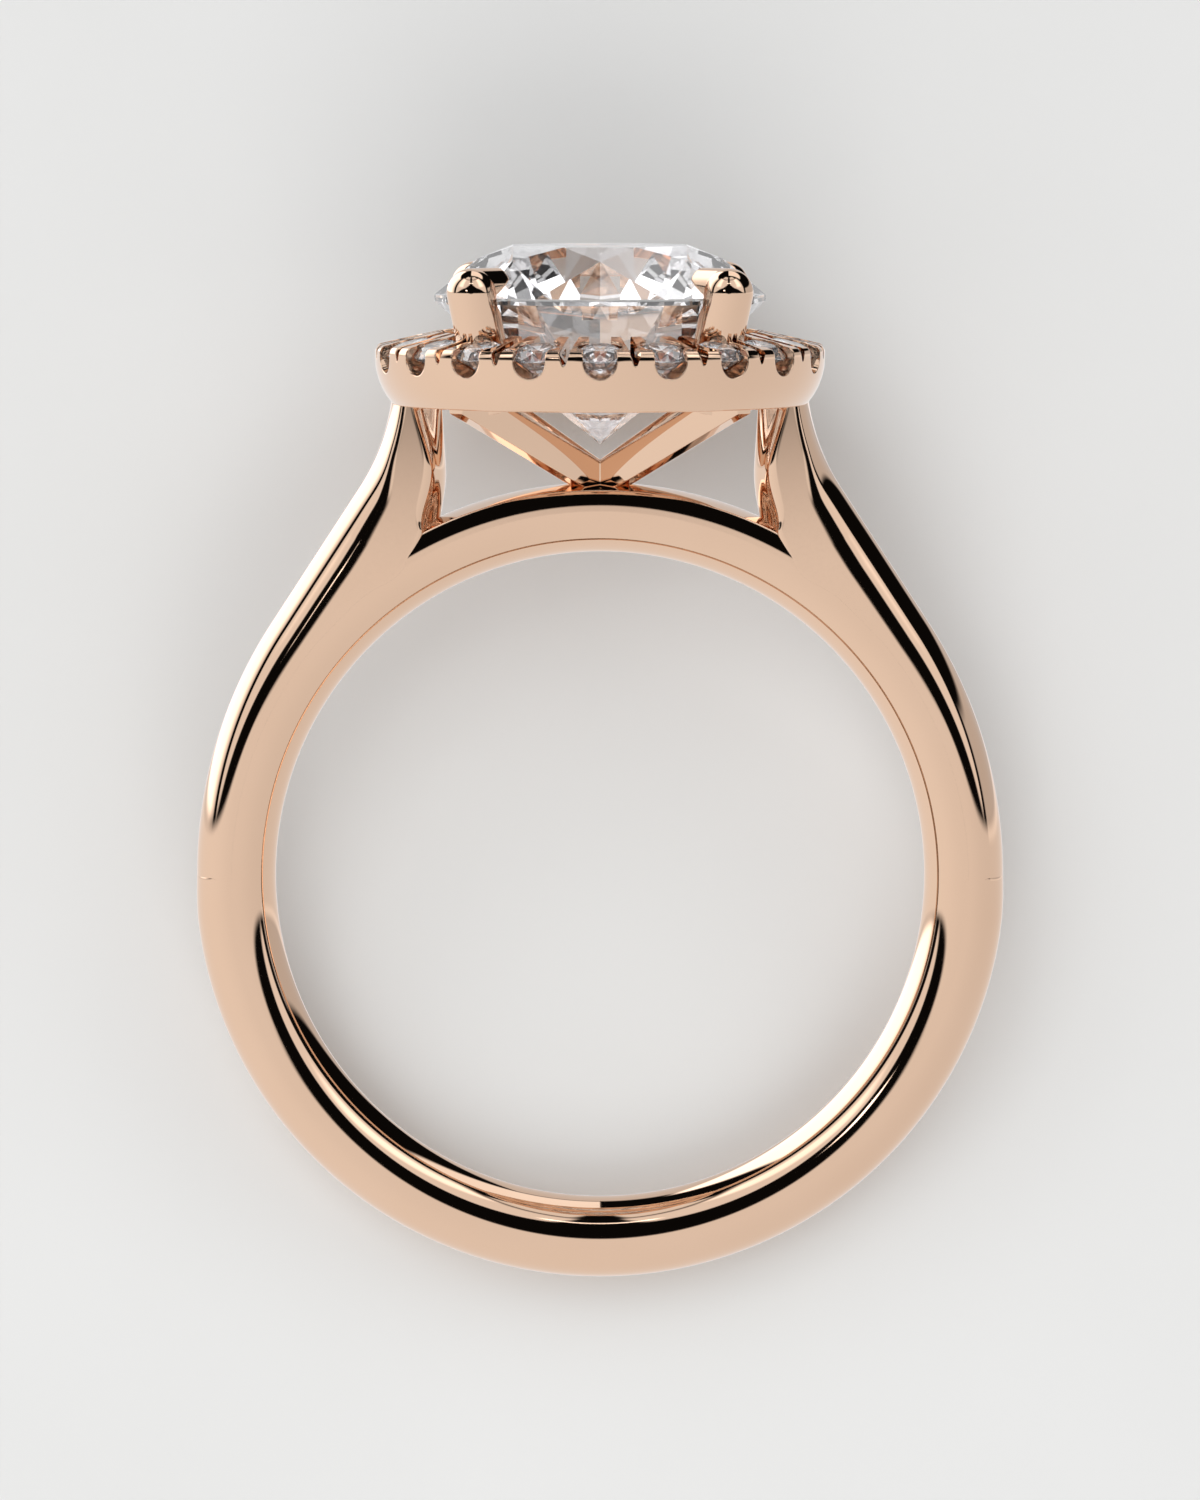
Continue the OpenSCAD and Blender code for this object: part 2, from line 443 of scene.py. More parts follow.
def noise(tree: Tree, scale: float, detail: float) -> Socket:
    """A cloudy pattern on the object, with scale clouds to the metre."""
    coord = add_node(tree, "ShaderNodeTexCoord")
    return add_node(tree, "ShaderNodeTexNoise", {"Scale": scale, "Detail": detail},
                    {"Vector": coord.outputs["Object"]}).outputs["Fac"]


def blended(tree: Tree, share: Socket, first: str,
            second: str) -> Socket:
    """Mixes two colours.

    Args:
        tree: The node tree.
        share: How much of the second colour there is.
        first: The first colour, as sRGB hex.
        second: The second colour.

    Returns:
        The mixed colour's socket.
    """
    mix = add_node(tree, "ShaderNodeMix", {"data_type": "RGBA"}, {0: share})
    mix.inputs[6].default_value = linear(first)
    mix.inputs[7].default_value = linear(second)
    return mix.outputs[2]


@dataclass(frozen=True)
class PolishedRoseGold:
    """14 carat rose gold, cast and mirror polished: a warm, clear reflection."""

    name: str = "Rose_gold_polished"
    colour: str = "E9C8AE"
    deep: str = "E5C3A8"
    roughness: float = 0.03
    smoothest: float = 0.7
    roughest: float = 1.5
    edge_mm: float = 0.05
    cloud_scale: float = 330.0
    mark_scale: float = 9000.0

    def build(self) -> Material:
        """Makes the material: soft worn edges and the faintest polishing marks.

        Returns:
            The material.
        """
        material, tree, out = new_material(self.name)
        # Cloudy differences in the alloy, about 3 mm across.
        tint = blended(tree, noise(tree, self.cloud_scale, 2.0), self.colour, self.deep)
        # Polishing marks, 0.1 mm apart: too fine to see one by one.
        marks = noise(tree, self.mark_scale, 3.0)
        gloss = add_node(tree, "ShaderNodeMapRange", {
            "From Min": 0.3, "From Max": 0.7, "To Min": self.roughness * self.smoothest,
            "To Max": self.roughness * self.roughest}, {"Value": marks})
        # Every edge is rounded by the polishing wheel.
        edge = add_node(tree, "ShaderNodeBevel", {"samples": 8, "Radius": self.edge_mm * MM})
        metal = add_node(tree, "ShaderNodeBsdfPrincipled", {"Metallic": 1.0}, {
            "Base Color": tint, "Roughness": gloss.outputs["Result"],
            "Normal": edge.outputs["Normal"]})
        tree.links.new(metal.outputs[0], out.inputs["Surface"])
        return material


@dataclass(frozen=True)
class CutDiamond:
    """Diamond, cut and polished: clear, with a high index that throws light back."""

    name: str
    pale: str = "FFFFFF"
    cool: str = "F6F4F8"
    index: float = 2.417
    roughness: float = 0.0
    facet_mm: float = 1.6
    clear: float = 0.97

    def build(self) -> Material:
        """Makes the material: clear, but for the little light that fine facets scatter.

        Returns:
            The material.
        """
        material, tree, out = new_material(self.name)
        coord = add_node(tree, "ShaderNodeTexCoord")
        # Patches of slightly cooler white about as wide as the stone's facets.
        cells = add_node(tree, "ShaderNodeTexVoronoi", {"Scale": 1 / (self.facet_mm * MM)},
                         {"Vector": coord.outputs["Object"]})
        parts = add_node(tree, "ShaderNodeSeparateColor", {}, {0: cells.outputs["Color"]})
        tint = blended(tree, parts.outputs[0], self.pale, self.cool)
        stone = add_node(tree, "ShaderNodeBsdfPrincipled", {
            "Roughness": self.roughness, "IOR": self.index,
            "Transmission Weight": self.clear}, {"Base Color": tint})
        tree.links.new(stone.outputs[0], out.inputs["Surface"])
        return material


@dataclass(frozen=True)
class MattBoard:
    """White painted board: matt, with a cloudiness that is only just there."""

    name: str = "Painted_board_white"
    pale: str = "E1E1E0"
    dull: str = "DADAD8"
    cloud_scale: float = 60.0
    roughness: float = 0.9
    shine: float = 0.1

    def build(self) -> Material:
        """Makes the material.

        Returns:
            The material.
        """
        material, tree, out = new_material(self.name)
        tint = blended(tree, noise(tree, self.cloud_scale, 4.0), self.pale, self.dull)
        board = add_node(tree, "ShaderNodeBsdfPrincipled", {
            "Roughness": self.roughness, "Specular IOR Level": self.shine},
            {"Base Color": tint})
        tree.links.new(board.outputs[0], out.inputs["Surface"])
        return material


# Geometry nodes


def repeat_tree() -> Tree:
    """A node tree that sets copies of a mesh round the Z axis and joins them.

    Returns:
        The tree, with inputs Geometry, Count, Start Angle, Weld and Material.
    """
    tree = bpy.data.node_groups.new("Set_Round_An_Axis", "GeometryNodeTree")
    face = tree.interface
    face.new_socket("Geometry", in_out="INPUT", socket_type="NodeSocketGeometry")
    for name, kind in (("Count", "NodeSocketInt"), ("Start Angle", "NodeSocketFloat"),
                       ("Weld", "NodeSocketFloat"), ("Material", "NodeSocketMaterial")):
        face.new_socket(name, in_out="INPUT", socket_type=kind)
    face.new_socket("Geometry", in_out="OUTPUT", socket_type="NodeSocketGeometry")
    given = add_node(tree, "NodeGroupInput")
    points = add_node(tree, "GeometryNodePoints", {}, {"Count": given.outputs["Count"]})
    index = add_node(tree, "GeometryNodeInputIndex")
    share = add_node(tree, "ShaderNodeMath", {"operation": "DIVIDE"},
                     {0: index.outputs[0], 1: given.outputs["Count"]})
    angle = add_node(tree, "ShaderNodeMath", {"operation": "MULTIPLY_ADD", 1: math.tau},
                     {0: share.outputs[0], 2: given.outputs["Start Angle"]})
    spin = add_node(tree, "ShaderNodeCombineXYZ", {}, {"Z": angle.outputs[0]})
    copies = add_node(tree, "GeometryNodeInstanceOnPoints", {}, {
        "Points": points.outputs[0], "Instance": given.outputs["Geometry"],
        "Rotation": spin.outputs[0]})
    real = add_node(tree, "GeometryNodeRealizeInstances", {}, {"Geometry": copies.outputs[0]})
    weld = add_node(tree, "GeometryNodeMergeByDistance", {}, {
        "Geometry": real.outputs[0], "Distance": given.outputs["Weld"]})
    dress = add_node(tree, "GeometryNodeSetMaterial", {}, {
        "Geometry": weld.outputs[0], "Material": given.outputs["Material"]})
    add_node(tree, "NodeGroupOutput", {}, {"Geometry": dress.outputs[0]})
    return tree


# Pieces


@dataclass
class Part:
    """A part of the mount: build makes it and hands it over."""

    material: Material

    def hand_over(self, thing: Thing, name: str) -> Thing:
        """Lays a part down, dresses it and lets it ride with the ring.

        Args:
            thing: The part, upright and in millimetres.
            name: Its name.

        Returns:
            The finished part.
        """
        thing.name = thing.data.name = name
        thing.data.transform(Matrix.Scale(MM, 4) @ ATTITUDE.turn)
        thing.data.materials.clear()
        thing.data.materials.append(self.material)
        thing.data.update()
        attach(thing, "root")
        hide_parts("ring_mount")
        LOG.info("%s: %d faces", name, len(thing.data.polygons))
        return thing


@dataclass
class RoundPart(Part):
    """A part that repeats round the head's axis."""

    tree: Tree

    def repeated(self, thing: Thing, count: int, first_deg: float, weld: float = 0.0) -> None:
        """Sets a mesh round the Z axis with the node tree and makes it plain.

        Args:
            thing: The object whose mesh is repeated.
            count: How many copies.
            first_deg: The first copy's turn.
            weld: How near points are joined, in millimetres.
        """
        step = thing.modifiers.new("set_round", "NODES")
        step.node_group = self.tree
        values = {"Count": count, "Start Angle": math.radians(first_deg), "Weld": weld,
                  "Material": self.material}
        for item in self.tree.interface.items_tree:
            if item.in_out == "INPUT" and item.name in values:
                step[item.identifier] = values[item.name]
        baked(thing)


@dataclass(frozen=True)
class Section:
    """A cut through the ring's wire, from its outer edge in to its two creases.

    The outside is a quarter of an ellipse as deep as ridge, or what is left of
    it below a cut with a low crown. A flat stretch follows, then a roll down to
    the creases. A low dome closes the inside.
    """

    half: float = 1.1
    crease_half: float = 0.733
    ridge: float = 0.89
    roll: float = 0.81
    bulge: float = 0.26
    cut: float = 0.0
    crown: float = 0.0
    fall: Pair = (0.171, 0.829)
    flat_end: float = 0.02

    def points(self, outer: np.ndarray, crease: np.ndarray) -> np.ndarray:
        """The section's points as (x, y, z) rows.

        Args:
            outer: The outermost point (x, z).
            crease: The middle of the line between the two creases (x, z).

        Returns:
            One closed loop of points.
        """
        span = float(np.hypot(*(outer - crease)))
        inward = (crease - outer) / span
        turn = np.linspace(math.acos(1 - self.cut / self.ridge), math.pi / 2, 24)
        way = np.linspace(0, 1, 18)
        fall = self.fall[0] * way ** 2 + self.fall[1] * way ** 3
        # Two points close to its ends keep the flat stretch flat when it is shaded.
        level = max(span - self.ridge - self.roll, 0.0)
        inset = min(self.flat_end, level / 4)
        ends = self.ridge + np.array([inset, level - inset])
        depth = np.concatenate([self.ridge * (1 - np.cos(turn)), ends,
                                span - self.roll * (1 - way)])
        across = np.concatenate([self.half * np.sin(turn), [self.half, self.half],
                                 self.half - (self.half - self.crease_half) * fall])
        low = np.linspace(-1, 1, 15)[1:-1]
        dome = np.stack([span + self.bulge * (1 - low ** 2), -self.crease_half * low], 1)
        crown = np.stack([self.cut - self.crown * (1 - low ** 2), across[0] * low], 1)
        right = np.stack([depth, across], 1)
        left = np.stack([depth, -across], 1)[::-1]
        flat = np.concatenate([right, dome, left, crown])
        return np.stack([outer[0] + inward[0] * flat[:, 0], flat[:, 1],
                         outer[1] + inward[1] * flat[:, 0]], 1)


@dataclass
class Band(Part):
    """The whole wire: a plain band below and, above, an arch cut back for the gallery."""

    crease_r: float = 8.53
    outer_r: float = 10.33
    covered_r: float = 10.2
    arch_r: float = 10.58
    wire: Section = Section()
    arch: Section = Section(ridge=1.08, cut=0.7, crown=0.14)
    joint: tuple[Floats, ...] = ((-6.0, 0.0, 1.2), (10.33, 10.291, 10.2))
    arch_deg: Pair = (46.0, 54.0)
    steps: int = 480

    def at(self, degrees: float) -> tuple[float, float, Section]:
        """What the wire is like at one place.

        Args:
            degrees: The place's angle from X.

        Returns:
            The outer radius, the crease's radius and the section.
        """
        lift = min(degrees, 180 - degrees)
        if lift < self.arch_deg[0]:
            radius = float(np.interp(lift, *self.joint))
            wire = Section(ridge=self.wire.ridge + radius - self.outer_r)
            return radius, self.crease_r, wire
        share = float(np.interp(lift, self.arch_deg, (0, 1)))
        low = Section(ridge=self.wire.ridge + self.covered_r - self.outer_r)
        mixed = {key: getattr(low, key) * (1 - share) + getattr(self.arch, key) * share
                 for key in ("ridge", "cut", "crown")}
        radius = self.covered_r + (self.arch_r - self.covered_r) * share
        return radius, self.crease_r, Section(**mixed)

    def build(self) -> Thing:
        """Makes the band with its arch.

        Returns:
            The finished band.
        """
        sections = []
        for k in range(self.steps):
            degrees = -90 + 360 * k / self.steps
            outer, crease, section = self.at(degrees)
            way = np.array([math.cos(math.radians(degrees)), math.sin(math.radians(degrees))])
            sections.append(section.points(way * outer, way * crease))
        return self.hand_over(sharpened(loft("band", sections, True)), "Band")


@dataclass
class Shoulder(Part):
    """One cathedral shoulder, from the band up to the halo.

    Its sections follow the outer edge. Low down their flat front runs on to the
    band's and they end inside it. Each knot gives, for a height of the outer
    edge, where the crease is and what the section is like.
    """

    side: Side
    outer_r: float = 10.29
    curve_r: float = 11.85
    flare_r: float = 5.45
    halo_x: float = 5.25
    upright_z: float = 12.88
    top_z: float = 12.3
    start_deg: float = -0.2
    leaves_z: float = 6.83
    low: Section = Section(half=1.1005, crease_half=1.06, ridge=0.85, roll=0.3)
    low_r: float = 9.12
    dip: float = 0.07
    arc_steps: int = 400
    rows: int = 300
    # Outer height, crease x, crease z, half crease, ridge, roll, bulge
    knots: tuple[Floats, ...] = (
        (6.83, 6.986, 5.862, 1.06, 0.96, 0.3, 0.26),
        (8.2, 5.862, 6.986, 1.06, 0.99, 0.3, 0.26),
        (8.9, 4.74, 7.86, 1.04, 0.98, 0.28, 0.26),
        (9.1, 4.69, 8.10, 0.95, 0.96, 0.22, 0.28),
        (9.35, 4.55, 8.44, 0.85, 0.93, 0.2, 0.32),
        (9.6, 4.41, 8.77, 0.8, 0.9, 0.22, 0.36),
        (9.98, 4.4, 9.05, 0.78, 0.84, 0.3, 0.36),
        (11.15, 4.13, 10.37, 0.78, 0.48, 0.4, 0.25),
        (11.95, 4.475, 11.9, 0.78, 0.42, 0.3, 0.47),
        (12.4, 4.6, 12.5, 0.78, 0.42, 0.28, 0.55),
    )

    def outer_curve(self, count: int) -> np.ndarray:
        """The outer edge: an arc, a straight and a hollow arc upright at the halo.

        Args:
            count: How many points.

        Returns:
            Evenly spaced (x, z) rows, from the band up.
        """
        near_x = self.outer_r - self.curve_r
        far_x = self.halo_x + self.flare_r
        way = math.hypot(far_x - near_x, self.upright_z)
        reach = self.curve_r + self.flare_r
        turn = math.atan2(self.upright_z, far_x - near_x) - math.acos(reach / way)
        low = [(near_x + self.curve_r * math.cos(a), self.curve_r * math.sin(a))
               for a in np.linspace(math.radians(self.start_deg), turn, self.arc_steps)]
        high = [(far_x - self.flare_r * math.cos(a), self.upright_z - self.flare_r * math.sin(a))
                for a in np.linspace(turn, 0, self.arc_steps)]
        line = np.array(low + high)
        line = line[line[:, 1] < self.top_z]
        along = np.concatenate([[0], np.cumsum(np.hypot(*np.diff(line, axis=0).T))])
        even = np.linspace(0, along[-1], count)
        return np.stack([np.interp(even, along, line[:, k]) for k in (0, 1)], 1)

    def at_height(self, outer: np.ndarray) -> tuple[np.ndarray, Section]:
        """What is across from a point of the outer edge.

        Args:
            outer: The point (x, z).

        Returns:
            The crease's middle (x, z) and the section.
        """
        if outer[1] < self.leaves_z:
            turn = math.atan2(outer[1], outer[0])
            share = max(outer[1], 0.0) / self.leaves_z
            ridge = (self.low.ridge + (self.knots[0][4] - self.low.ridge) * share
                     - self.dip * math.sin(math.pi * share) ** 2)
            crease = self.low_r * np.array([math.cos(turn), math.sin(turn)])
            return crease, replace(self.low, ridge=ridge)
        table = np.array(self.knots)
        x, z, crease_half, ridge, roll, bulge = (
            monotone(table[:, 0], table[:, k], outer[1]) for k in range(1, 7))
        return np.array((x, z)), Section(self.low.half, crease_half, ridge, roll, bulge)

    def build(self) -> Thing:
        """Makes the shoulder.

        Returns:
            The finished shoulder.
        """
        mirror = np.array([self.side.value, 1, 1])
        sections = []
        for outer in self.outer_curve(self.rows):
            crease, section = self.at_height(outer)
            sections.append(section.points(outer, crease) * mirror)
        return self.hand_over(sharpened(loft("shoulder", sections)),
                              f"Shoulder_{self.side.name.lower()}")


def monotone(xs: np.ndarray, ys: np.ndarray, x: float) -> float:
    """A smooth curve through knots that doesn't overshoot.

    Args:
        xs: The knots' places, rising.
        ys: The knots' values.
        x: Where the curve is wanted.

    Returns:
        The curve's value at x.
    """
    steps, rises = np.diff(xs), np.diff(ys)
    rates = rises / steps
    slopes = np.concatenate([[rates[0]], np.zeros(len(xs) - 2), [rates[-1]]])
    for k in range(1, len(xs) - 1):
        if rates[k - 1] * rates[k] > 0:
            near, far = 2 * steps[k] + steps[k - 1], steps[k] + 2 * steps[k - 1]
            slopes[k] = (near + far) / (near / rates[k - 1] + far / rates[k])
    k = int(np.clip(np.searchsorted(xs, x) - 1, 0, len(xs) - 2))
    h = steps[k]
    t = (x - xs[k]) / h
    return float((2 * t ** 3 - 3 * t ** 2 + 1) * ys[k] + (t ** 3 - 2 * t ** 2 + t) * h * slopes[k]
                 + (3 * t ** 2 - 2 * t ** 3) * ys[k + 1] + (t ** 3 - t ** 2) * h * slopes[k + 1])


@dataclass
class Brilliant:
    """The room that a round brilliant takes up, as shares of its diameter."""

    diameter: float
    gap: float = 0.03
    crown: float = 0.149
    girdle: float = 0.019
    pavilion: float = 0.433
    table: float = 0.567
    star: float = 0.74
    lower: float = 0.24
    mains: int = 8
    culet_gap: float = 1.4

    @property
    def flat(self) -> float:
        """How far a main facet's middle is from the axis, as a share of its corners."""
        return math.cos(math.pi / self.mains)

    def crown_z(self, share: float) -> float:
        """Height of the crown's main facets above the girdle's middle."""
        return self.diameter * (self.girdle / 2
                                + self.crown * (1 - share * self.flat) / (1 - self.table))

    def pavilion_z(self, share: float) -> float:
        """Height of the pavilion's main facets, below the girdle's middle."""
        return -self.diameter * (self.girdle / 2 + self.pavilion * (1 - share * self.flat))

    def room(self, name: str, steps: int) -> Thing:
        """The stone's turned outline with the gap round it.

        Args:
            name: The object's name.
            steps: How many steps go round.

        Returns:
            The solid that a seat is cut with.
        """
        r, g, d = self.diameter / 2, self.gap, self.diameter
        return turned(name, [
            (0, -d * (self.girdle / 2 + self.pavilion) - self.culet_gap * g),
            (r * self.lower + g, self.pavilion_z(self.lower) - g),
            (r + g, -d * self.girdle / 2 - g),
            (r + g, d * self.girdle / 2 + g),
            (r * self.star + g, self.crown_z(self.star) + g),
            (r * self.table + g, d * (self.girdle / 2 + self.crown) + g),
            (0, d * (self.girdle / 2 + self.crown) + g)], steps)


@dataclass
class Halo(RoundPart):
    """The ring of small stones round the centre, with scallops and beads.

    Known fault: each sector lacks the wall of its first notch and a small patch
    beside it, about 0.91 and 0.07 square mm, which shows as a dark slit. The
    bore's cut leaves the mesh open, and the first notch's cut then loses them.
    """

    stones: int = 20
    base_z: float = 12.03
    hole_r: float = 4.0
    wall_centre: Pair = (3.89, 13.25)
    wall_r: float = 1.83
    circle_r: float = 4.95
    girdle_z: float = 13.45
    lean: float = 14.0
    stone: Brilliant = field(default_factory=lambda: Brilliant(1.35))
    scallop_r: float = 0.42
    inner_scallop_r: float = 0.27
    notch_w: float = 0.26
    notch_z: float = 13.2
    top_out: Pair = (5.5, 13.585)
    top_in: Pair = (4.22, 13.88)
    rim_fillet: float = 0.19
    lip_fillet: float = 0.14
    foot_h: float = 0.05
    rim_h: float = 0.06
    rim_lift: float = 0.07
    foot_break: Triple = (0.08, 0.03, 0.012)
    opening_share: float = 0.84
    pierce_share: float = 0.44
    scallop_lift: float = 0.03
    scallop_x: Pair = (0.05, 1.3)
    notch_x: Pair = (3.5, 6.5)
    notch_top: float = 14.2
    notch_flare: float = 2.1
    notch_round: float = 0.05
    weld: float = 0.0005
    steps: int = 24

    @property
    def half(self) -> float:
        """Half the turn from one stone to the next, in degrees."""
        return 180 / self.stones

    def outline(self) -> list[Pair]:
        """Works out the section: curved wall, rounded rim, sloping top and rounded lip.

        Returns:
            Points (radius, height), from the foot outwards.
        """
        cx, cz = self.wall_centre
        low = math.asin((self.base_z + self.foot_h - cz) / self.wall_r)
        high = math.asin(self.rim_h / self.wall_r)
        foot_x = cx + self.wall_r * math.cos(low)
        flat, slant, rise = self.foot_break
        points = [(self.hole_r, self.base_z), (foot_x - flat, self.base_z),
                  (foot_x - slant, self.base_z + rise)]
        points += [(cx + self.wall_r * math.cos(a), cz + self.wall_r * math.sin(a))
                   for a in np.linspace(low, high, 22)]
        slope = math.atan2(self.top_in[1] - self.top_out[1], self.top_out[0] - self.top_in[0])
        f = self.rim_fillet
        start = points[-1]
        centre = (start[0] - f * math.cos(high),
                  start[1] - f * math.sin(high) + self.rim_lift)
        points += [(centre[0] + f * math.cos(a), centre[1] + f * math.sin(a))
                   for a in np.linspace(high, math.pi / 2 - slope, 10)]
        f = self.lip_fillet
        centre = (self.hole_r + f, self.top_in[1] - f)
        points += [(centre[0] + f * math.cos(a), centre[1] + f * math.sin(a))
                   for a in np.linspace(math.pi / 2 - slope, math.pi, 8)]
        return points

    def at_stone(self) -> Matrix:
        """Where the front stone's own axis stands, its girdle's middle at the origin."""
        return (Matrix.Rotation(-math.pi / 2, 4, "Z")
                @ Matrix.Translation((self.circle_r, 0, self.girdle_z))
                @ Matrix.Rotation(math.radians(self.lean), 4, "Y"))

    def cutters(self) -> list[Thing]:
        """Makes the solids that are taken out of one sector for its stone and notches.

        Returns:
            Seat, opening, bore, two scallops and two notches.
        """
        spot = self.at_stone()
        r = self.stone.diameter / 2
        lay = Matrix.Rotation(math.pi / 2, 4, "Y")
        rise = Matrix.Translation((0, 0, self.scallop_lift))
        cutters = [moved(self.stone.room("seat", 64), spot),
                   moved(rod("opening", r * self.opening_share, 1.0), spot),
                   moved(rod("pierce", r * self.pierce_share, 3.0, 40),
                         spot @ Matrix.Translation((0, 0, -3)))]
        for radius, turn in ((self.scallop_r, 0.0), (self.inner_scallop_r, math.pi)):
            outline = [(radius * math.sin(a), -radius * math.cos(a))
                       for a in np.linspace(-math.pi / 2, math.pi / 2, 33)]
            outline += [(radius, 1.0), (-radius, 1.0)]
            sections = [np.array([(x, y, z) for y, z in outline]) for x in self.scallop_x]
            cutters.append(moved(loft("scallop", sections),
                                 spot @ rise @ Matrix.Rotation(turn, 4, "Z")))
        w = self.notch_w / 2
        f = self.notch_round
        outline = [(-w, self.notch_top), (-w, self.notch_z + self.notch_flare * w)]
        outline += [(f * math.sin(a), self.notch_z + f - f * math.cos(a))
                    for a in np.linspace(-1.1, 1.1, 9)]
        outline += [(w, self.notch_z + self.notch_flare * w), (w, self.notch_top)]
        for side in (-1, 1):
            sections = [np.array([(x, y, z) for y, z in outline]) for x in self.notch_x]
            cutters.append(moved(loft("notch", sections), Matrix.Rotation(
                math.radians(-90 + side * self.half), 4, "Z")))
        return cutters

    def build(self) -> Thing:
        """Makes one sector, repeats it round the head and welds the copies.

        Returns:
            The finished halo.
        """
        truth = TrueNormals()
        whole = turned("halo_whole", self.outline(), 480)
        truth.learn(whole)
        dropped(whole)
        sector = turned("halo_sector", self.outline(), self.steps, -90 - self.half,
                        2 * self.half)
        for cutter in self.cutters():
            truth.combine(sector, cutter, Cut.TAKE)
        self.open_sides(sector)
        self.repeated(sector, self.stones, 0.0, self.weld)
        truth.apply(sector, back_to_first(2 * self.half, -90, -90))
        return self.hand_over(sector, "Halo")

    def open_sides(self, sector: Thing) -> None:
        """Takes off the faces where a sector meets its neighbours.

        Args:
            sector: The cut sector, its middle at -90 degrees.
        """
        work = bmesh.new()
        work.from_mesh(sector.data)
        ends = []
        for face in work.faces:
            turns = [math.degrees(math.atan2(v.co.y, v.co.x)) + 90 for v in face.verts]
            if all(abs(abs(t) - self.half) < 1e-3 for t in turns):
                ends.append(face)
        bmesh.ops.delete(work, geom=ends, context="FACES")
        work.to_mesh(sector.data)
        work.free()


@dataclass
class Basket(RoundPart):
    """Four struts that rise from the arch to the underside of the halo."""

    low_z: float = 9.58
    rise: float = 24.8
    width: float = 0.76
    foot: float = 0.44
    side_h: float = 0.72
    crown_h: float = 0.12
    start: float = -0.2
    reach: float = 5.1
    rows: int = 12

    def build(self) -> Thing:
        """Makes one strut and sets four round the axis.

        Returns:
            The finished struts.
        """
        w = self.width / 2
        outline = [(-self.foot / 2, 0.0), (self.foot / 2, 0.0)]
        outline += [(w * math.cos(a), self.side_h + self.crown_h * math.sin(a))
                    for a in np.linspace(0, math.pi, 25)]
        slope = math.tan(math.radians(self.rise))
        sections = []
        for x in np.linspace(self.start, self.reach, self.rows):
            sections.append(np.array([
                (x, y, self.low_z + slope * x + up / math.cos(math.radians(self.rise)))
                for y, up in outline]))
        end = sections[-1].copy()
        end[:, 0] = np.sqrt(self.reach ** 2 - end[:, 1] ** 2)
        end[:, 2] += slope * (end[:, 0] - self.reach)
        sections[-1] = end
        strut = loft("strut", sections)
        self.repeated(strut, ARMS, FIRST_ARM_DEG)
        return self.hand_over(sharpened(strut), "Basket")


@dataclass
class Claws(RoundPart):
    """Four leaning claws whose tips lie over the centre stone."""

    stone: Brilliant = field(default_factory=lambda: Brilliant(8.4))
    girdle_z: float = 14.72
    base: Pair = (3.72, 12.03)
    lean: float = 16.0
    stem_r: float = 0.62
    top_z: float = 15.558
    tip_r: float = 0.5
    tip_reach: float = 3.68
    steps: int = 72
    seat_steps: int = 256

    def build(self) -> Thing:
        """Makes one claw, cuts the stone's seat in it and sets four round the axis.

        Returns:
            The finished claws.
        """
        lean = math.radians(self.lean)
        length = (self.top_z - self.stem_r - self.base[1]) / math.cos(lean)
        outline = [(0, 0), (self.stem_r, 0)]
        outline += [(self.stem_r * math.cos(a), length + self.stem_r * math.sin(a))
                    for a in np.linspace(0, math.pi / 2, 24)]
        stand = (Matrix.Translation((self.base[0], 0, self.base[1]))
                 @ Matrix.Rotation(lean, 4, "Y"))
        truth = TrueNormals()
        claw = truth.learn(moved(turned("claw", outline, self.steps), stand))
        head_x = self.base[0] + length * math.sin(lean)
        tip = moved(rod("tip", self.tip_r, head_x - self.tip_reach, self.steps),
                    Matrix.Translation((self.tip_reach, 0, self.top_z - self.tip_r))
                    @ Matrix.Rotation(math.pi / 2, 4, "Y"))
        truth.combine(claw, tip, Cut.JOIN)
        seat = moved(self.stone.room("seat", self.seat_steps),
                     Matrix.Translation((0, 0, self.girdle_z)))
        truth.combine(claw, seat, Cut.TAKE)
        self.repeated(claw, ARMS, FIRST_ARM_DEG)
        truth.apply(claw, back_to_first(360 / ARMS, FIRST_ARM_DEG, 0))
        return self.hand_over(claw, "Claws")


# Studio


class Value:
    """A number worked out by Math nodes, written as plain arithmetic."""

    def __init__(self, tree: Tree, socket: Socket) -> None:
        """Wraps an output socket of a tree."""
        self.tree, self.socket = tree, socket

    def math(self, kind: str, *others: "Value | float") -> "Value":
        """A Math node with this value first.

        Args:
            kind: The node's operation.
            others: Its other values.

        Returns:
            The result.
        """
        node = add_node(self.tree, "ShaderNodeMath", {"operation": kind}, {0: self.socket})
        for slot, other in enumerate(others, 1):
            if isinstance(other, Value):
                self.tree.links.new(other.socket, node.inputs[slot])
            else:
                node.inputs[slot].default_value = other
        return Value(self.tree, node.outputs[0])

    def __add__(self, other: "Value | float") -> "Value":
        """Sum."""
        return self.math("ADD", other)

    def __sub__(self, other: "Value | float") -> "Value":
        """Difference."""
        return self.math("SUBTRACT", other)

    def __mul__(self, other: "Value | float") -> "Value":
        """Product."""
        return self.math("MULTIPLY", other)

    def rises(self, low: float, high: float, start: float = 0.0, end: float = 1.0) -> "Value":
        """Goes smoothly from start to end while this goes from low to high."""
        node = add_node(self.tree, "ShaderNodeMapRange", {
            "interpolation_type": "SMOOTHSTEP", "From Min": low, "From Max": high,
            "To Min": start, "To Max": end}, {"Value": self.socket})
        return Value(self.tree, node.outputs[0])

    def between(self, low: float, high: float, soft: float) -> "Value":
        """One between two limits and nought outside, with soft edges."""
        return self.rises(low - soft, low + soft) * self.rises(high - soft, high + soft, 1.0, 0.0)


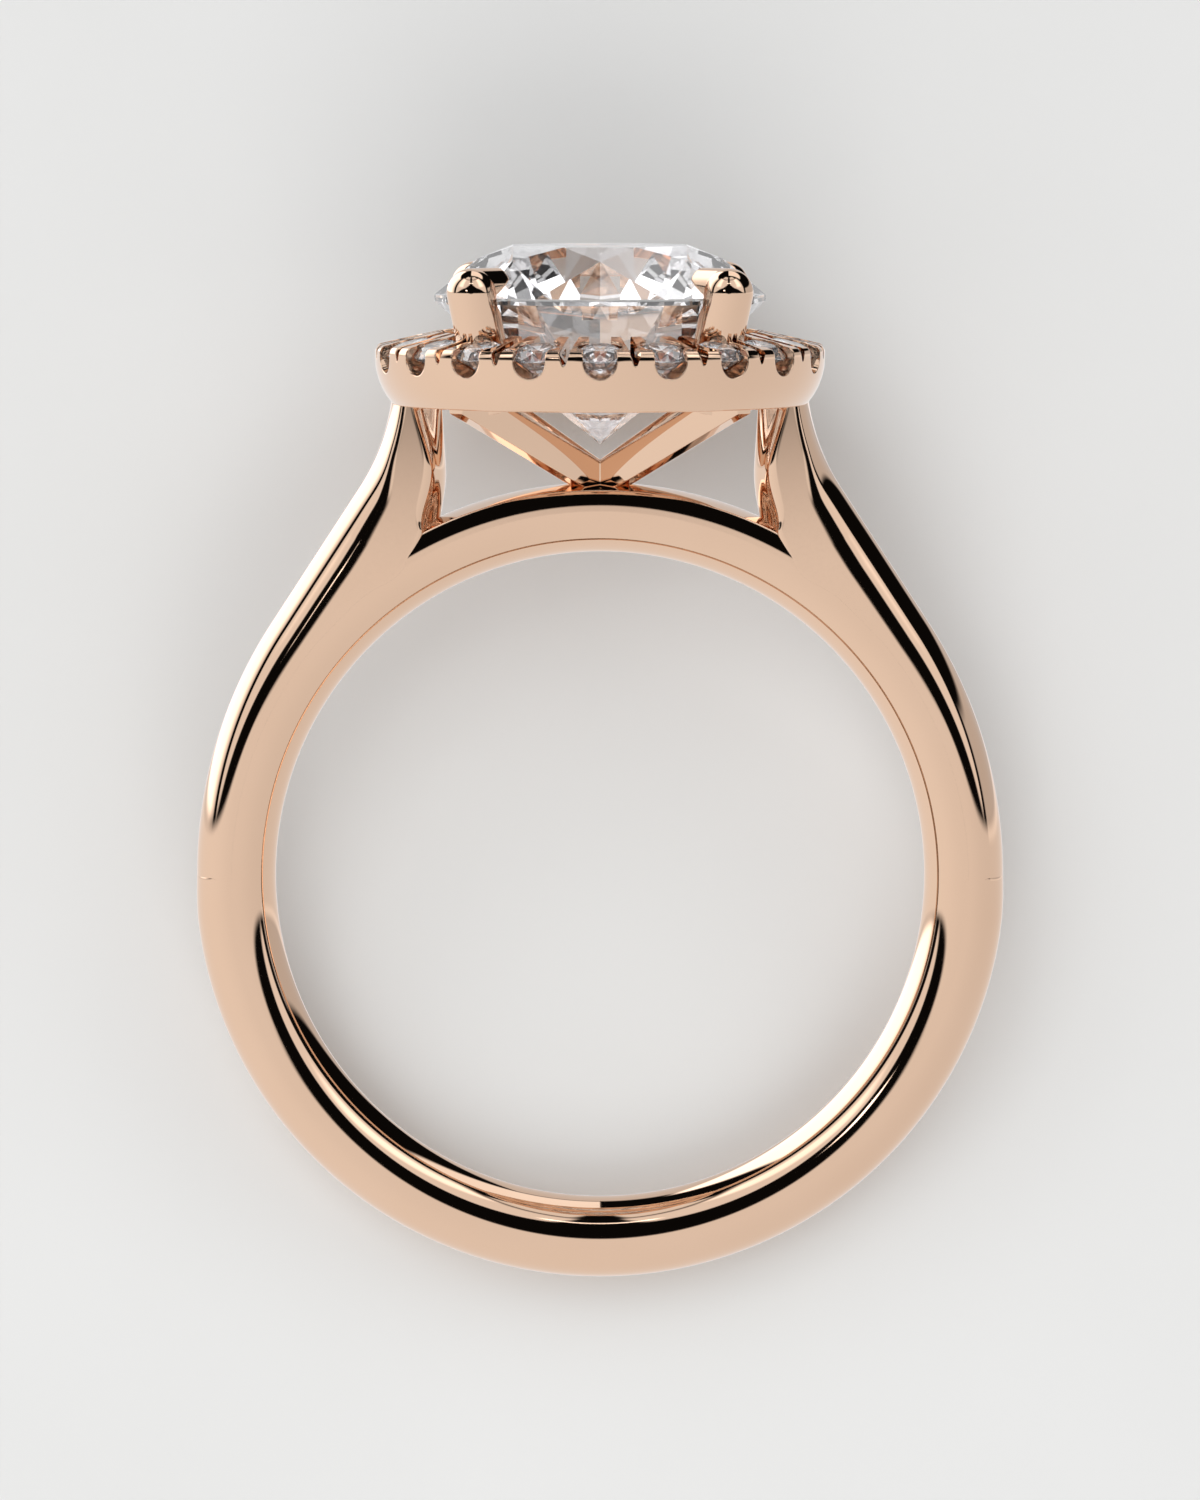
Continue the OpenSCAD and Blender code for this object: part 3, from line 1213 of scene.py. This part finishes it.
@dataclass(frozen=True)
class Area:
    """A soft-edged area of the room: from, to and softness of azimuth and elevation."""

    turn: Triple
    lift: Triple

    def drawn(self, turn: Value, lift: Value) -> Value:
        """One within the area and nought outside."""
        return turn.between(*self.turn) * lift.between(*self.lift)


@dataclass(frozen=True)
class Room:
    """The studio as the ring sees it, by elevation and azimuth in the upright frame.

    Azimuth is 0 towards the camera and negative to its left; both are in degrees.
    A pale table and walls below, a black ceiling above, a broad screen over the
    camera behind a black flag that peaks in the middle, and a key light on the left.
    Four numbers in brackets are a slope: from, to, the value at each. Three are a
    stretch: from, to, softness.
    """

    table: float = 0.9
    screen: float = 0.95
    core: float = 0.8
    key: float = 2.2
    side: float = 0.62
    back: float = 0.72
    above: float = 1.2
    spark: float = 4.0
    ceiling: float = 1.0
    dark: float = 0.004
    white: str = "FEFEFF"
    table_edge: Floats = (0, 15, -2.6, 0.5)
    table_soft: Floats = (-1.2, 1.2, 1.0, 0.0)
    table_tilt: float = -0.08
    flag_peak: Floats = (0, 36, 42.0, 22.0)
    flag_drop: Floats = (30, 76, 0.0, 20.0)
    flag_soft: Floats = (-2.0, 2.0, 0.0, 1.0)
    screen_top: Floats = (60, 66, 1.0, 0.0)
    screen_width: Floats = (8.0, 76.0, 1.5)
    core_width: Floats = (42, 66, 6.0)
    core_foot: Floats = (22, 32, 0.0, 1.0)
    line_height: Floats = (46, 49, 0.6)
    line_end: Floats = (10, 14, 1.0, 0.0)
    key_area: Area = Area((-160, -88, 3.0), (1.5, 54.0, 2.0))
    key_fade: Pair = (-112, -88)
    key_dim: float = 0.9
    side_area: Area = Area((86, 158, 2.5), (0.0, 17.0, 2.0))
    back_turn: Floats = (157, 161, 0.0, 1.0)
    back_height: Floats = (0.0, 50.0, 2.0)
    above_width: Floats = (92, 200, 4.0)
    above_foot: Floats = (50, 54, 0.0, 1.0)
    spark_area: Area = Area((-26, -18, 1.5), (11.0, 15.0, 1.0))
    box_area: Area = Area((12, 62, 3.0), (66, 79, 1.5))
    bar_slant: Pair = (6.0, 4.0)
    bar_soft: Floats = (-0.75, -0.45, 0.0, 1.0)
    ceiling_foot: Floats = (-20, 10, 0.0, 1.0)

    def build(self) -> None:
        """Draws the room as the world's colour."""
        world = bpy.data.worlds.new("Studio")
        bpy.context.scene.world = world
        world.use_nodes = True
        tree = world.node_tree
        tree.nodes.clear()
        coord = add_node(tree, "ShaderNodeTexCoord")

        def along(axis: Sequence[float]) -> Value:
            """The view direction's share along an upright axis."""
            node = add_node(tree, "ShaderNodeVectorMath", {
                "operation": "DOT_PRODUCT", 1: ATTITUDE.turn.to_3x3() @ Vector(axis)},
                {0: coord.outputs["Generated"]})
            return Value(tree, node.outputs["Value"])

        degrees = 180 / math.pi
        lift = along((0, 0, 1)).math("ARCSINE") * degrees
        right = along((1, 0, 0))
        turn = right.math("ARCTAN2", along((0, -1, 0))) * degrees
        away = turn.math("ABSOLUTE")
        # Pale up to the horizon, a little lower straight in front and dimmer on the right.
        edge = away.rises(*self.table_edge)
        table = (lift - edge).rises(*self.table_soft) * (right * self.table_tilt + self.table)
        # The flag's upper edge falls away from a peak over the camera.
        peak = away.rises(*self.flag_peak) - away.rises(*self.flag_drop)
        shape = (lift - peak).rises(*self.flag_soft) * lift.rises(*self.screen_top)
        shape = shape * away.between(*self.screen_width)
        core = away.between(*self.core_width) * lift.rises(*self.core_foot)
        screen = shape * (core * self.core + self.screen)
        line = lift.between(*self.line_height) * away.rises(*self.line_end)
        key = self.key_area.drawn(turn, lift)
        key = key * turn.rises(*self.key_fade, self.key, self.key_dim)
        side = self.side_area.drawn(turn, lift)
        back = away.rises(*self.back_turn) * lift.between(*self.back_height)
        above = turn.between(*self.above_width) * lift.rises(*self.above_foot)
        spark = self.spark_area.drawn(turn, lift)
        boxes = self.box_area.drawn(away, lift)
        total = table + screen + line * self.key + key + side * self.side
        total = total + back * self.back + above * self.above
        total = total + spark * self.spark + boxes * self.table + self.dark
        # What shines through the stones comes from a bright ceiling with dark bars.
        path = add_node(tree, "ShaderNodeLightPath")
        through = Value(tree, path.outputs["Is Transmission Ray"])
        bars = turn * self.bar_slant[0] + lift * self.bar_slant[1]
        bars = bars.math("MULTIPLY", math.pi / 180).math("SINE").rises(*self.bar_soft)
        total = total + through * (bars * lift.rises(*self.ceiling_foot) * self.ceiling)
        light = add_node(tree, "ShaderNodeBackground", {"Color": linear(self.white)},
                         {"Strength": total.socket})
        add_node(tree, "ShaderNodeOutputWorld", {}, {"Surface": light.outputs[0]})


@dataclass(frozen=True)
class Softbox:
    """A rectangular light at an upright place in millimetres, turned to the ring."""

    name: str
    place: Triple
    size: Pair
    power: float

    def build(self) -> Thing:
        """Makes the light.

        Returns:
            The light, which metal and stones don't show.
        """
        data = bpy.data.lights.new(self.name, "AREA")
        data.shape = "RECTANGLE"
        data.size, data.size_y = self.size[0] * MM, self.size[1] * MM
        data.energy = self.power
        light = linked(self.name, data)
        light.location = ATTITUDE.laid(self.place)
        light.rotation_euler = light.location.to_track_quat("Z", "Y").to_euler()
        light.visible_glossy = light.visible_transmission = False
        return light


@dataclass
class Studio:
    """Pale floor, soft light and the camera."""

    eye: Triple = (0.0, -220.0, 21.79)
    aim: Triple = (0.0, 0.0, 3.195)
    lens: float = 207.8
    clip: Pair = (0.01, 10.0)
    floor_size: float = 1.2
    bounces: int = 24
    glossy_bounces: int = 8
    lights: tuple[Softbox, ...] = (
        Softbox("Key", (-90, -300, 110), (260, 260), 0.36),
        Softbox("Low_fill", (20, -260, -170), (220, 160), 0.26))

    def floor(self, low_z: float) -> Thing:
        """Makes the floor, at the ring's lowest point.

        Args:
            low_z: Its height, in metres.

        Returns:
            The floor.
        """
        s = self.floor_size
        mesh = bpy.data.meshes.new("Floor")
        mesh.from_pydata([(-s, -s, low_z), (s, -s, low_z), (s, s, low_z), (-s, s, low_z)],
                         [], [(0, 1, 2, 3)])
        thing = linked("Floor", mesh)
        mesh.materials.append(MattBoard().build())
        # The metal mirrors the drawn room and not the board it lies on.
        thing.visible_glossy = False
        thing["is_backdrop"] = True
        return thing

    def camera(self) -> Thing:
        """Makes the camera, looking down at the ring along the photograph's line.

        Returns:
            The camera.
        """
        data = bpy.data.cameras.new("Camera")
        data.lens = self.lens
        data.clip_start, data.clip_end = self.clip
        camera = linked("Camera", data)
        eye, aim = ATTITUDE.laid(self.eye), ATTITUDE.laid(self.aim)
        up = ATTITUDE.turn @ Vector((0, 0, 1))
        back = (eye - aim).normalized()
        right = up.cross(back).normalized()
        turn = Matrix((right, back.cross(right), back)).transposed()
        camera.matrix_world = Matrix.Translation(eye) @ turn.to_4x4()
        bpy.context.scene.camera = camera
        return camera

    def build(self) -> None:
        """Makes the whole studio."""
        scene = bpy.context.scene
        scene.view_settings.view_transform = "Standard"
        scene.cycles.max_bounces = scene.cycles.transmission_bounces = self.bounces
        scene.cycles.glossy_bounces = self.glossy_bounces
        self.camera()
        self.floor(min(CAD_BOX[0].z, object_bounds()[0].z))
        Room().build()
        for light in self.lights:
            light.build()


def dress_stones(nodes: dict, names: Iterable[str], material: Material) -> None:
    """Gives packed stones their material.

    Args:
        nodes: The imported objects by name.
        names: Which of them.
        material: What they are cut from.
    """
    for name in names:
        mesh = nodes[name].data
        mesh.materials.clear()
        mesh.materials.append(material)
        LOG.info("%s: dressed as %s", name, material.name)


def main() -> None:
    """Builds the ring and the studio, piece by piece."""
    logging.basicConfig(level=logging.INFO, format="%(message)s")
    gold = PolishedRoseGold().build()
    tree = repeat_tree()
    Band(gold).build()
    for side in Side:
        Shoulder(gold, side).build()
    for part in (Basket(gold, tree), Halo(gold, tree), Claws(gold, tree)):
        part.build()
    nodes = frame["nodes"]
    small = [n for n in nodes if n.startswith("halo_stone")]
    dress_stones(nodes, ["centre_stone"], CutDiamond("Diamond_centre").build())
    dress_stones(nodes, small, CutDiamond("Diamond_halo", cool="E4E7EF", facet_mm=0.16,
                                          clear=0.9).build())
    Studio().build()


if __name__ == "__main__":
    main()
